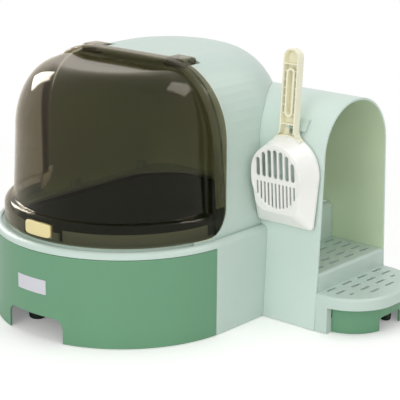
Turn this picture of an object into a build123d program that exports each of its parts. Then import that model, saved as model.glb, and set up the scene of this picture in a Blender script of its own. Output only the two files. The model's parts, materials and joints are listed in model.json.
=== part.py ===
"""Drawer litter box: domed hood with a flip-up visor, a litter drawer, a stepped side tunnel and a scoop.

The body axis is the upright centre line of the half round front.  X runs out through the tunnel,
Y runs from the visor to the rear wall, Z runs up from the floor.
"""
import os
from math import atan, cos, degrees, radians, sin, sqrt, tan

from build123d import *

os.makedirs("parts", exist_ok=True)

# Driving dimensions, in millimetres -----------------------------------------------------------
wall = 3.0
body_half_width = 200.0
body_back = 304.0
body_corner = 40.0
base_height = 144.0
base_shoulder = 10.0
drawer_front_height = 135.0

hood_inset = 13.0
hood_top = 396.0
hood_shoulder_run = 112.0
hood_shoulder_rise = 143.0
hood_shoulder_power = 2.48
hood_draft = 0.075
hood_corner = 45.0
hood_dome_corner = 165.0
hood_square_up_to = 257.0
hood_round_from = 336.0

visor_wall = 2.5
visor_band_radius = 184.0
visor_band_height = 31.0
visor_window_inset = 13.0
visor_window_draft = 0.05
visor_crown_run = 67.0
visor_crown_rise = 99.0
visor_crown_top = 382.0
visor_reach_back = 20.0
collar_width = 24.0
collar_half_width = 185.5
collar_top = 398.0
collar_corner = 112.0
collar_round = 8.0
collar_toe_radius = 38.0
hinge_pin_radius = 2.5
hinge_knuckle_radius = 7.5
hinge_pin_behind = 20.0
hinge_lug_inner = 66.0
hinge_lug_width = 40.0
hinge_tongue_width = 16.0

tunnel_centre = 187.0
tunnel_length = 97.0
tunnel_half_width = 92.5
tunnel_lean = 0.045
tunnel_height = 340.0
tunnel_crown_radius = 78.0
doorway_half_width = 74.0
doorway_sill = 152.0
doorway_height = 322.0

upper_tread_height = 87.0
lower_tread_height = 59.0
lower_step_reach = 87.0
lower_step_corner = 75.0
lower_step_half_width = 91.0
tread_lip = 18.0
slot_length = 24.0
slot_width = 4.5
slot_pitch_along = 40.0
slot_pitch_across = 16.8

scoop_length = 263.5
scoop_head_length = 134.0
scoop_head_width = 111.0
scoop_lip_width = 102.0
scoop_depth = 33.0
scoop_wall = 2.2
scoop_lean = 3.5
scoop_face_tilt = 8.0
scoop_centre = 237.8
scoop_lip_height = 155.0
handle_width = 27.0
handle_depth = 13.0

# Clearances and fits -------------------------------------------------------------------------
seat_gap = 0.3
slide_gap = 0.8
hinge_fit = 0.05
seam = 0.5

# Places that follow from the driving dimensions ------------------------------------------------
label_proud = 0.6
tunnel_mouth = body_half_width + tunnel_length
step_front = tunnel_mouth + lower_step_reach
front_reach = body_half_width + label_proud
axis_x = (body_half_width - step_front) / 2
axis_y = (front_reach - body_back) / 2

floor = Plane(origin=(axis_x, axis_y, 0))
side = Plane(origin=(axis_x, axis_y, 0), x_dir=(0, 1, 0), z_dir=(1, 0, 0))
front = Plane(origin=(axis_x, axis_y, 0), x_dir=(1, 0, 0), z_dir=(0, -1, 0))
steps = Plane(origin=(axis_x, axis_y + tunnel_centre, 0))


def body_plan(height, half_width, back, corner):
    """Plan of the body at a height: a half round front, straight sides and rounded rear corners."""
    with BuildSketch(floor.offset(height)) as plan:
        with BuildLine():
            ThreePointArc((half_width, 0), (0, -half_width), (-half_width, 0))
            Polyline((-half_width, 0), (-half_width, back), (half_width, back), (half_width, 0))
        make_face()
        fillet(plan.vertices().group_by(Axis.Y)[-1], corner)
    return plan.sketch


def inset_plan(height, inset):
    """Plan of the body at a height, drawn in from the outer wall by inset."""
    return body_plan(height, body_half_width - inset, body_back - inset, body_corner - inset)


# Base housing: the mint body that the hood stands on and the drawer slides into ------------------
deck_height = base_height - wall
ledge_inset = base_shoulder
deck_opening_inset = 32.0
deck_opening_corner = 110.0
drawer_edge = 15.7
seat_ring_height = 7.0
drip_inset = 2.0

with BuildPart() as base_housing:
    extrude(inset_plan(0, 0), amount=base_height)
    fillet(base_housing.faces().sort_by(Axis.Z)[-1].edges(), base_shoulder - seam)
    extrude(inset_plan(0, wall), amount=deck_height - wall, mode=Mode.SUBTRACT)
    extrude(inset_plan(deck_height, ledge_inset), amount=base_height, mode=Mode.SUBTRACT)
    deck_opening = body_plan(
        0, body_half_width - deck_opening_inset, body_back - deck_opening_inset, deck_opening_corner
    )
    extrude(deck_opening, amount=base_height, mode=Mode.SUBTRACT)
    with BuildSketch(floor.offset(deck_height)) as seat_ring:
        seat_radius = visor_band_radius - visor_wall - drip_inset
        with BuildLine():
            CenterArc((0, 0), seat_radius, 180, 180)
            Line((seat_radius, 0), (seat_radius - wall, 0))
            CenterArc((0, 0), seat_radius - wall, 180, 180)
            Line((wall - seat_radius, 0), (-seat_radius, 0))
        make_face()
    extrude(amount=seat_ring_height)
    with BuildSketch(floor) as drawer_gate:
        with Locations((0, -drawer_edge)):
            Rectangle(3 * body_half_width, 2 * body_half_width, align=(Align.CENTER, Align.MAX))
    extrude(amount=drawer_front_height, mode=Mode.SUBTRACT)
base_housing.part.label = "base_housing"
export_step(base_housing.part, "parts/base_housing.step")

# Drawer runners: two rails on the side walls that carry the pan's rim ----------------------------
pan_rim_height = 126.0
pan_rim_thickness = 2.5
pan_rim_inset = 7.5
runner_depth = 9.0
runner_rise = 12.0
runner_top = pan_rim_height - pan_rim_thickness - seat_gap


def drawer_runner(hand):
    """Angle rail on one side wall; hand is 1 on the tunnel side and -1 on the other."""
    wall_face = hand * (body_half_width - wall)
    with BuildPart() as rail:
        with BuildSketch(Plane(origin=(axis_x, axis_y, 0), x_dir=(1, 0, 0), z_dir=(0, 1, 0))) as section:
            with BuildLine():
                Polyline(
                    (wall_face, -runner_top),
                    (wall_face - hand * runner_depth, -runner_top),
                    (wall_face - hand * runner_depth, -runner_top + wall),
                    (wall_face - hand * wall, -runner_top + wall),
                    (wall_face - hand * wall, -runner_top + runner_rise),
                    (wall_face, -runner_top + runner_rise),
                    close=True,
                )
            make_face()
        extrude(amount=body_back - wall - body_corner)
    return rail.part


for hand, name in ((1, "drawer_runner_right"), (-1, "drawer_runner_left")):
    runner = drawer_runner(hand)
    runner.label = name
    export_step(runner, f"parts/{name}.step")

# Litter pan: the tray that holds the litter, with a rim that rides on the runners -----------------
pan_floor_height = 42.0
pan_draft = 3.0
pan_wall = 2.5
pan_inset = 26.0
pan_corner = 60.0
pan_back = body_back - 18.0


def pan_plan(height, inset):
    """Plan of the pan's foot, drawn in from its outer wall by inset."""
    return body_plan(height, body_half_width - pan_inset - inset, pan_back - inset, pan_corner - inset)


with BuildPart() as litter_pan:
    rim_height = pan_rim_height - pan_rim_thickness
    rim_plan = body_plan(rim_height, body_half_width - pan_rim_inset, pan_back + pan_rim_inset, pan_corner)
    extrude(rim_plan, amount=pan_rim_thickness)
    with BuildSketch(floor.offset(rim_height)):
        with BuildLine():
            rim_radius = body_half_width - wall
            rim_edge = sqrt(rim_radius**2 - drawer_edge**2)
            ThreePointArc((rim_edge, -drawer_edge), (0, -rim_radius), (-rim_edge, -drawer_edge))
            Line((-rim_edge, -drawer_edge), (rim_edge, -drawer_edge))
        make_face()
    extrude(amount=pan_rim_thickness)
    pan_rise = pan_rim_height - pan_floor_height
    extrude(pan_plan(pan_floor_height, 0), amount=pan_rise, taper=-pan_draft)
    pan_hollow = pan_plan(pan_floor_height + pan_wall, pan_wall)
    extrude(pan_hollow, amount=pan_rise, taper=-pan_draft, mode=Mode.SUBTRACT)
litter_pan.part.label = "litter_pan"
export_step(litter_pan.part, "parts/litter_pan.step")

# Drawer front: the half round fascia with its hand notch -----------------------------------------
notch_half_width = 56.0
notch_height = 37.0
notch_corner = 15.0
front_edge = sqrt(body_half_width**2 - (drawer_edge + seam) ** 2)
front_inner_edge = sqrt((body_half_width - wall) ** 2 - (drawer_edge + seam) ** 2)
front_top = drawer_front_height - slide_gap
floor_gap = 0.5

with BuildPart() as drawer_front:
    with BuildSketch(floor.offset(floor_gap)) as fascia:
        with BuildLine():
            edge_y = -drawer_edge - seam
            ThreePointArc((front_edge, edge_y), (0, -body_half_width), (-front_edge, edge_y))
            Line((-front_edge, edge_y), (-front_inner_edge, edge_y))
            ThreePointArc((-front_inner_edge, edge_y), (0, wall - body_half_width), (front_inner_edge, edge_y))
            Line((front_inner_edge, edge_y), (front_edge, edge_y))
        make_face()
    extrude(amount=front_top - floor_gap)
    with BuildSketch(front) as notch:
        Rectangle(2 * notch_half_width, 2 * notch_height)
        fillet(notch.vertices().group_by(Axis.Y)[-1], notch_corner)
    extrude(amount=body_half_width + wall, mode=Mode.SUBTRACT)
drawer_front.part.label = "drawer_front"
export_step(drawer_front.part, "parts/drawer_front.step")

# Drawer clips: snap tabs under the pan's rim that hold the fascia ---------------------------------
clip_width = 16.0
clip_depth = 6.0
clip_rise = 10.0
clip_spread = 50.0

with BuildPart() as drawer_clips:
    with BuildSketch(floor.offset(pan_rim_height - pan_rim_thickness - clip_rise)):
        for turn in (-clip_spread, 0, clip_spread):
            with Locations(Rotation(0, 0, turn - 90) * Location((body_half_width - wall, 0))):
                Rectangle(clip_depth, clip_width, align=(Align.MAX, Align.CENTER))
    extrude(amount=clip_rise)
    with BuildSketch(floor) as inside_fascia:
        Circle(body_half_width - wall)
    extrude(amount=base_height, mode=Mode.INTERSECT)
drawer_clips.part.label = "drawer_clips"
export_step(drawer_clips.part, "parts/drawer_clips.step")

# Drawer feet: tapered glides under the pan, seen through the hand notch ----------------------------
foot_radius = 13.0
foot_taper = 4.0
foot_round = 4.0
front_foot = (52.0, -140.0)
rear_foot = (120.0, 215.0)
foot_height = pan_floor_height - floor_gap

with BuildPart() as drawer_feet:
    with BuildSketch(floor.offset(pan_floor_height)):
        for x, y in (front_foot, rear_foot):
            with Locations((x, y), (-x, y)):
                Circle(foot_radius + foot_height * tan(radians(foot_taper)))
    extrude(amount=-foot_height, taper=foot_taper)
    fillet(drawer_feet.faces().group_by(Axis.Z)[0].edges(), foot_round)
drawer_feet.part.label = "drawer_feet"
export_step(drawer_feet.part, "parts/drawer_feet.step")

# Blank label plate on the drawer front ------------------------------------------------------------
label_width = 58.0
label_height = 22.0
label_middle = 82.0
label_seat = 0.2

with BuildPart() as drawer_label:
    with BuildSketch(front.offset(body_half_width / 2)):
        with Locations((0, label_middle)):
            RectangleRounded(label_width, label_height, 1.0)
    extrude(amount=body_half_width)
    with BuildSketch(floor):
        Circle(body_half_width + label_proud)
        Circle(body_half_width + label_seat, mode=Mode.SUBTRACT)
    extrude(amount=base_height, mode=Mode.INTERSECT)
drawer_label.part.label = "drawer_label"
export_step(drawer_label.part, "parts/drawer_label.step")


# Hood: a domed shell, square at the foot and round at the top, open at the front ------------------
def hood_half_width(height, inset):
    """Half width of the hood at a height: a drafted wall that rolls over in a superellipse."""
    rise = max(height - (hood_top - inset - hood_shoulder_rise), 0) / hood_shoulder_rise
    roll = 1 - (1 - min(rise, 1) ** hood_shoulder_power) ** (1 / hood_shoulder_power)
    foot = body_half_width - hood_inset - inset
    return foot - hood_draft * (height - deck_height) - hood_shoulder_run * roll


def hood_corner_radius(height):
    """Rear corner radius of the hood at a height, growing from the foot into the dome."""
    share = (height - hood_square_up_to) / (hood_round_from - hood_square_up_to)
    share = min(max(share, 0), 1)
    return hood_corner + (hood_dome_corner - hood_corner) * share**2 * (3 - 2 * share)


hood_front = visor_reach_back + slide_gap
hood_roll_steps = (0.0, 0.15, 0.28, 0.40, 0.50, 0.59, 0.67, 0.74, 0.80, 0.86, 0.91, 0.95, 0.98, 1.0)
hood_ceiling = hood_top - wall
roll_start = hood_ceiling - hood_shoulder_rise
hood_levels = [deck_height, (deck_height + roll_start) / 2]
hood_levels += [roll_start + hood_shoulder_rise * step for step in hood_roll_steps]
cap_levels = (hood_ceiling, hood_ceiling + wall / 2, hood_top)


def hood_back(half_width):
    """Rear of the hood where its half width is given: the rear wall rolls in with the sides."""
    return body_back - hood_inset - (body_half_width - hood_inset - half_width)


def hood_plan(height, inset):
    """Plan of the hood at a height, drawn in by inset and cut off square at the visor."""
    half_width = hood_half_width(height, inset)
    corner = min(hood_corner_radius(height) - inset, half_width - wall)
    with BuildSketch(floor.offset(height)) as plan:
        with Locations((0, hood_front - inset)):
            depth = hood_back(half_width) - hood_front + inset
            Rectangle(2 * half_width, depth, align=(Align.CENTER, Align.MIN))
        fillet(plan.vertices().group_by(Axis.Y)[-1], corner)
    return plan.sketch


spigot_reach = 16.0
spigot_foot = 187.0
spigot_wall = 2.5
skirt_reach = 45.0
visor_bottom = 147.0
toe_y = visor_reach_back - collar_toe_radius
toe_z = visor_bottom + collar_toe_radius
skirt_rise = toe_z - deck_height
hinge_y = visor_reach_back + hinge_pin_behind
hinge_z = collar_top + seam - hinge_knuckle_radius
well_clearance = 1.5
well_depth = 11.5
well_width = hinge_lug_width + 2 * well_clearance
well_back = hinge_y + hinge_knuckle_radius + 2 * well_clearance
well_floor = hinge_z - well_depth
well_wall = 2.0
lug_middle = hinge_lug_inner + hinge_lug_width / 2
body_axis = Axis((axis_x, axis_y, 0), (0, 0, 1))


def hood_arch(plane, inset, foot):
    """Front view of the hood above a foot height, drawn in by inset."""
    top_drop = hood_ceiling - hood_top + inset
    rolls = [level - top_drop for level in hood_levels if level - top_drop > foot]
    right = [(hood_half_width(foot, inset), foot)]
    right += [(hood_half_width(level, inset), level) for level in rolls]
    left = [(-x, z) for x, z in reversed(right)]
    with BuildSketch(plane) as arch:
        with BuildLine():
            Spline(right)
            Line(right[-1], left[0])
            Spline(left)
            Line(left[-1], right[0])
        make_face()
    return arch.sketch


with BuildPart() as spigot:
    spigot_root = front.offset(-hood_front - wall)
    extrude(hood_arch(spigot_root, wall - seam, spigot_foot), amount=spigot_reach + wall)
    spigot_hollow = hood_arch(spigot_root, wall - seam + spigot_wall, spigot_foot - wall)
    extrude(spigot_hollow, amount=spigot_reach + wall, mode=Mode.SUBTRACT)
    with BuildSketch(floor.offset(spigot_foot)):
        with Locations((lug_middle, hood_front), (-lug_middle, hood_front)):
            Rectangle(well_width, 2 * spigot_reach, align=(Align.CENTER, Align.CENTER))
    extrude(amount=hood_top, mode=Mode.SUBTRACT)

with BuildPart() as skirt:
    skirt_foot = body_half_width - hood_inset - seat_gap
    skirt_wall = wall - 2 * seat_gap
    skirt_draw = hood_draft * skirt_rise
    with BuildSketch(front) as skirt_section:
        with BuildLine():
            Polyline(
                (skirt_foot, deck_height),
                (skirt_foot - skirt_draw, deck_height + skirt_rise),
                (skirt_foot - skirt_draw - skirt_wall, deck_height + skirt_rise),
                (skirt_foot - skirt_wall, deck_height),
                close=True,
            )
        make_face()
    revolve(axis=body_axis, revolution_arc=-180)
    extrude(skirt_section.sketch, amount=-hood_front - wall)
    extrude(mirror(skirt_section.sketch, about=side, mode=Mode.PRIVATE), amount=-hood_front - wall)
    with BuildSketch(side.offset(-body_half_width)):
        with Locations((toe_y, toe_z)):
            Circle(collar_toe_radius + slide_gap)
        with Locations((toe_y, visor_bottom - slide_gap)):
            Rectangle(body_half_width, skirt_rise, align=(Align.MAX, Align.MIN))
        with Locations((-skirt_reach, 0)):
            Rectangle(body_half_width, body_half_width, align=(Align.MAX, Align.MIN))
    extrude(amount=2 * body_half_width, mode=Mode.SUBTRACT)

with BuildPart() as hinge_well:
    well_arch = hood_arch(front.offset(-hood_front), wall / 2, well_floor - well_wall)
    extrude(well_arch, amount=hood_front - well_back - well_wall)
    with BuildSketch(floor):
        with Locations((lug_middle, 0), (-lug_middle, 0)):
            Rectangle(well_width + 2 * well_wall, body_back)
    extrude(amount=hood_top, mode=Mode.INTERSECT)

with BuildPart() as hood:
    loft([hood_plan(level, 0) - hood_plan(level, wall) for level in hood_levels], ruled=True)
    loft([hood_plan(level, 0) for level in cap_levels], ruled=True)
    add(hinge_well.part)
    add(spigot.part)
    add(skirt.part)
    with BuildSketch(floor.offset(well_floor)):
        with Locations((lug_middle, well_back), (-lug_middle, well_back)):
            Rectangle(well_width, body_half_width, align=(Align.CENTER, Align.MAX))
    extrude(amount=hood_top, mode=Mode.SUBTRACT)
    with BuildSketch(side.offset(body_half_width / 2)):
        with Locations((tunnel_centre, doorway_sill)):
            Rectangle(
                2 * doorway_half_width,
                doorway_height - doorway_half_width - doorway_sill,
                align=(Align.CENTER, Align.MIN),
            )
        with Locations((tunnel_centre, doorway_height - doorway_half_width)):
            Circle(doorway_half_width)
    extrude(amount=body_half_width, mode=Mode.SUBTRACT)
hood.part.label = "hood"
export_step(hood.part, "parts/hood.step")


def ring_sector(height, inner, outer, half_angle):
    """Sector of a ring about the body axis, centred on the front."""
    far_x = 2 * outer * sin(radians(half_angle))
    far_y = -2 * outer * cos(radians(half_angle))
    with BuildSketch(floor.offset(height)) as sector:
        Circle(outer)
        Circle(inner, mode=Mode.SUBTRACT)
        with BuildLine():
            Polyline((0, 0), (far_x, far_y), (-far_x, far_y), close=True)
        make_face(mode=Mode.INTERSECT)
    return sector.sketch


# Hood clips: snap tabs inside the foot of the hood -------------------------------------------------
hood_clip_reach = 9.0
hood_clip_width = 18.0
hood_clip_rise = 12.0
hood_clip_round = 1.5
hood_clip_along = (70.0, 230.0)

with BuildPart() as hood_clips:
    with BuildSketch(floor.offset(deck_height)):
        for y in hood_clip_along:
            clip_outer = hood_half_width(deck_height + hood_clip_rise, wall)
            with Locations((clip_outer - hood_clip_reach / 2, y), (hood_clip_reach / 2 - clip_outer, y)):
                Rectangle(hood_clip_reach, hood_clip_width)
    extrude(amount=hood_clip_rise)
    fillet(hood_clips.edges().filter_by(Axis.Z), hood_clip_round)
hood_clips.part.label = "hood_clips"
export_step(hood_clips.part, "parts/hood_clips.step")

# Visor: smoked bubble window with a skirt band, a collar round the hood and two hinge lugs ----------
shoulder_z = visor_bottom + visor_band_height - 10.0
shoulder_rise = 13.0
crown_foot_z = visor_crown_top - visor_crown_rise
latch_half_angle = 8.9
latch_bottom = 152.0
latch_height = 21.0
pocket_margin = 1.0
flange_front = 4.0


def window_radius(height):
    """Outer radius of the drafted window at a height."""
    return visor_band_radius - visor_window_inset - visor_window_draft * (height - visor_bottom - wall)


def visor_section(plane, inset, mirrored):
    """Section of the window and band out from the body axis, drawn in by inset."""
    crown_x = window_radius(crown_foot_z) - visor_crown_run
    crown_top = visor_crown_top - inset
    crease_x = window_radius(shoulder_z + shoulder_rise) - inset
    band_x = visor_band_radius - inset
    foot = visor_bottom - inset
    with BuildSketch(plane) as section:
        with BuildLine():
            Line((0, crown_top), (crown_x, crown_top))
            EllipticalCenterArc((crown_x, crown_foot_z), visor_crown_run - inset, visor_crown_rise - inset, arc_size=90)
            Line((crown_x + visor_crown_run - inset, crown_foot_z), (crease_x, shoulder_z + shoulder_rise - inset))
            EllipticalCenterArc((crease_x, shoulder_z), band_x - crease_x, shoulder_rise - inset, arc_size=90)
            Polyline((band_x, shoulder_z), (band_x, foot), (0, foot), (0, crown_top))
        make_face()
        if mirrored:
            mirror(about=Plane.YZ)
    return section.sketch


def collar_arch(plane, inset):
    """Arch of the collar seen from the front, drawn in by inset and open at the foot."""
    foot = visor_bottom - inset
    with BuildSketch(plane) as arch:
        with Locations((0, foot)):
            Rectangle(
                2 * (collar_half_width - inset),
                collar_top - inset - foot,
                align=(Align.CENTER, Align.MIN),
            )
        fillet(arch.vertices().group_by(Axis.Y)[-1], collar_corner - inset)
    return arch.sketch


lug_front = visor_reach_back - 8.0
lug_corner = 12.0
lug_rear = hinge_y + hinge_knuckle_radius
tongue_gap = 0.8
tongue_round = 5.0
pin_cover = 3.5
hinge_room = 20.0
hinge_lugs = (hinge_lug_inner, -hinge_lug_inner - hinge_lug_width)

with BuildPart() as visor_lugs:
    for lug_start in hinge_lugs:
        with BuildSketch(side.offset(lug_start)):
            with Locations((hinge_y, hinge_z)):
                Circle(hinge_knuckle_radius)
            with BuildLine():
                Polyline(
                    (hinge_y, hinge_z + hinge_knuckle_radius),
                    (lug_front, hinge_z + hinge_knuckle_radius),
                    (lug_front, hinge_z),
                    (hood_front + seam, hinge_z - hinge_knuckle_radius),
                    (hinge_y, hinge_z - hinge_knuckle_radius),
                    close=True,
                )
            make_face()
        extrude(amount=hinge_lug_width)
    with BuildSketch(floor) as lug_plan:
        with Locations((lug_middle, lug_rear), (-lug_middle, lug_rear)):
            Rectangle(hinge_lug_width, lug_rear - lug_front, align=(Align.CENTER, Align.MAX))
        fillet(lug_plan.vertices().group_by(Axis.Y)[-1], lug_corner)
    extrude(amount=2 * hood_top, mode=Mode.INTERSECT)

with BuildPart() as collar_block:
    extrude(collar_arch(front.offset(flange_front), 0), amount=-collar_width)
    collar_face = collar_block.faces().sort_by(Axis.Y)[0]
    fillet(collar_face.edges().sort_by(Axis.Z)[1:], collar_round)

with BuildPart() as collar_hollow:
    extrude(collar_arch(front.offset(flange_front - visor_wall), visor_wall), amount=-collar_width)
    hollow_face = collar_hollow.faces().sort_by(Axis.Y)[0]
    fillet(hollow_face.edges().sort_by(Axis.Z)[1:], collar_round - visor_wall)

with BuildPart() as visor:
    add(collar_block.part)
    add(collar_hollow.part, mode=Mode.SUBTRACT)
    revolve(visor_section(front, 0, False), axis=body_axis, revolution_arc=-180)
    revolve(visor_section(front, visor_wall, False), axis=body_axis, revolution_arc=-180, mode=Mode.SUBTRACT)
    add(visor_lugs.part)
    for lug_start in hinge_lugs:
        with BuildSketch(side.offset(lug_start + pin_cover)):
            with Locations((hinge_y, hinge_z)):
                Circle(hinge_pin_radius + hinge_fit)
        extrude(amount=hinge_lug_width - 2 * pin_cover, mode=Mode.SUBTRACT)
        tongue_room = hinge_tongue_width / 2 + tongue_gap
        with BuildSketch(side.offset(lug_start + hinge_lug_width / 2 - tongue_room)):
            reach = tongue_round + tongue_gap
            with Locations((hinge_y, hinge_z)):
                Circle(reach)
            with Locations((hinge_y - reach, hinge_z)):
                Rectangle(hinge_room, hinge_room, align=(Align.MIN, Align.MAX))
            with Locations((hinge_y, hinge_z + reach)):
                Rectangle(hinge_room, hinge_room, align=(Align.MIN, Align.MAX))
        extrude(amount=2 * tongue_room, mode=Mode.SUBTRACT)
    with BuildSketch(side.offset(-body_half_width)) as cuts:
        with Locations((toe_y, toe_z)):
            Rectangle(2 * collar_toe_radius, 2 * collar_toe_radius, align=(Align.MIN, Align.MAX))
            Circle(collar_toe_radius, mode=Mode.SUBTRACT)
    extrude(amount=2 * body_half_width, mode=Mode.SUBTRACT)
    pocket_half_angle = latch_half_angle + degrees(pocket_margin / visor_band_radius)
    pocket = ring_sector(latch_bottom - pocket_margin, deck_height, body_half_width, pocket_half_angle)
    extrude(pocket, amount=latch_height + 2 * pocket_margin, mode=Mode.SUBTRACT)
visor.part.label = "visor"
export_step(visor.part, "parts/visor.step")

# Hinge brackets and pins: a tongue in each well that the visor's lug straddles ----------------------
bracket_base = 2.0
bracket_margin = 4.0

with BuildPart() as hinge_brackets:
    for middle in (lug_middle, -lug_middle):
        with BuildSketch(floor.offset(well_floor)):
            with Locations((middle, hinge_y)):
                Rectangle(hinge_tongue_width + 2 * bracket_margin, 2 * tongue_round)
        extrude(amount=bracket_base)
        with BuildSketch(side.offset(middle - hinge_tongue_width / 2)):
            with Locations((hinge_y, well_floor)):
                Rectangle(2 * tongue_round, hinge_z - well_floor, align=(Align.CENTER, Align.MIN))
            with Locations((hinge_y, hinge_z)):
                Circle(tongue_round)
                Circle(hinge_pin_radius + hinge_fit, mode=Mode.SUBTRACT)
        extrude(amount=hinge_tongue_width)
hinge_brackets.part.label = "hinge_brackets"
export_step(hinge_brackets.part, "parts/hinge_brackets.step")

with BuildPart() as hinge_pins:
    for lug_start in hinge_lugs:
        with BuildSketch(side.offset(lug_start + pin_cover)):
            with Locations((hinge_y, hinge_z)):
                Circle(hinge_pin_radius)
        extrude(amount=hinge_lug_width - 2 * pin_cover)
hinge_pins.part.label = "hinge_pins"
export_step(hinge_pins.part, "parts/hinge_pins.step")

# Visor latch: press tab let into the band, and the keeper behind the seat ring ------------------------
latch_proud = 3.0
latch_corner = 3.5
latch_flange = 1.7
latch_flange_height = 17.5
latch_skin = 2.0
keeper_wall = 4.0
keeper_height = 17.0
keeper_half_angle = 10.0

with BuildPart() as visor_latch:
    latch_outer = visor_band_radius + latch_proud
    flange_outer = visor_band_radius - visor_wall - seat_gap
    extrude(ring_sector(latch_bottom, flange_outer - seam, latch_outer, latch_half_angle), amount=latch_height)
    fillet(visor_latch.faces().sort_by(Axis.Y)[0].edges().filter_by(Axis.Z), latch_corner / 2)
    flange_half_angle = latch_half_angle + degrees(latch_flange / visor_band_radius)
    flange_foot = latch_bottom - latch_flange
    flange_sector = ring_sector(flange_foot, flange_outer - latch_flange, flange_outer, flange_half_angle)
    extrude(flange_sector, amount=latch_flange_height)
    recess_half_angle = latch_half_angle - degrees(latch_skin / visor_band_radius)
    recess = ring_sector(latch_bottom + latch_skin, deck_height, latch_outer - latch_skin, recess_half_angle)
    extrude(recess, amount=latch_height - 2 * latch_skin, mode=Mode.SUBTRACT)
visor_latch.part.label = "visor_latch"
export_step(visor_latch.part, "parts/visor_latch.step")

with BuildPart() as latch_keeper:
    keeper_outer = seat_radius - wall - seat_gap
    extrude(ring_sector(deck_height, keeper_outer - keeper_wall, keeper_outer, keeper_half_angle), amount=keeper_height)
latch_keeper.part.label = "latch_keeper"
export_step(latch_keeper.part, "parts/latch_keeper.step")


# Tunnel: the arched entrance shell, scribed to the base and to the dome ------------------------------
def tunnel_arch(plane, inset):
    """Arched outline of the tunnel seen from its mouth, drawn in by inset; the feet lean outward."""
    foot = tunnel_half_width - inset
    crown = foot - tunnel_lean * tunnel_height
    low = seam * (inset == 0) - inset
    with BuildSketch(plane) as arch:
        with BuildLine():
            Polyline(
                (tunnel_centre - foot + tunnel_lean * low, low),
                (tunnel_centre - crown - tunnel_lean * inset, tunnel_height - inset),
                (tunnel_centre + crown + tunnel_lean * inset, tunnel_height - inset),
                (tunnel_centre + foot - tunnel_lean * low, low),
                close=True,
            )
        make_face()
        fillet(arch.vertices().group_by(Axis.Y)[-1], tunnel_crown_radius - inset)
    return arch.sketch


tunnel_root_share = 0.4
tunnel_root = body_half_width * tunnel_root_share

with BuildPart() as base_block:
    extrude(inset_plan(0, -seat_gap), amount=base_height + seat_gap)
    fillet(base_block.faces().sort_by(Axis.Z)[-1].edges(), base_shoulder - seam)

with BuildPart() as tunnel_shell:
    extrude(tunnel_arch(side.offset(tunnel_root), 0), amount=tunnel_mouth - tunnel_root)
    extrude(tunnel_arch(side.offset(tunnel_root), wall), amount=tunnel_mouth - tunnel_root, mode=Mode.SUBTRACT)
    add(base_block.part, mode=Mode.SUBTRACT)
    loft([hood_plan(level, -seat_gap) for level in hood_levels[:-1]], ruled=True, mode=Mode.SUBTRACT)
tunnel_shell.part.label = "tunnel_shell"
export_step(tunnel_shell.part, "parts/tunnel_shell.step")

# Step unit: two slotted treads over a hollow skirt, with jambs for the small drawer --------------------
upper_step_half_width = tunnel_half_width - tunnel_lean * upper_tread_height - wall - seat_gap
lower_lip_height = lower_tread_height - tread_lip
jamb_set = 21.0
jamb_x = tunnel_mouth + jamb_set
small_drawer_inset = 13.0
tread_round = 5.0
step_back = body_half_width + seat_gap
mouth_x = tunnel_mouth + seat_gap
lower_row_start = 6.7
upper_row_start = 18.8
end_slot_share = 2.75


def lower_step_plan(height, inset, start):
    """Plan of the lower step, rounded at the front and drawn in by inset."""
    reach = step_front - inset
    half_width = lower_step_half_width - inset
    with BuildSketch(steps.offset(height)) as plan:
        Rectangle(2 * reach, 2 * half_width)
        fillet(plan.vertices(), lower_step_corner - inset)
        with Locations((start, 0)):
            Rectangle(reach, 2 * half_width, align=(Align.MIN, Align.CENTER), mode=Mode.INTERSECT)
    return plan.sketch


def upper_step_plan(height, inset, end):
    """Plan of the upper step between the tunnel walls, drawn in by inset."""
    with BuildSketch(steps.offset(height)) as plan:
        with Locations((step_back + inset, 0)):
            Rectangle(end - step_back - inset, 2 * (upper_step_half_width - inset), align=(Align.MIN, Align.CENTER))
    return plan.sketch


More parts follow.
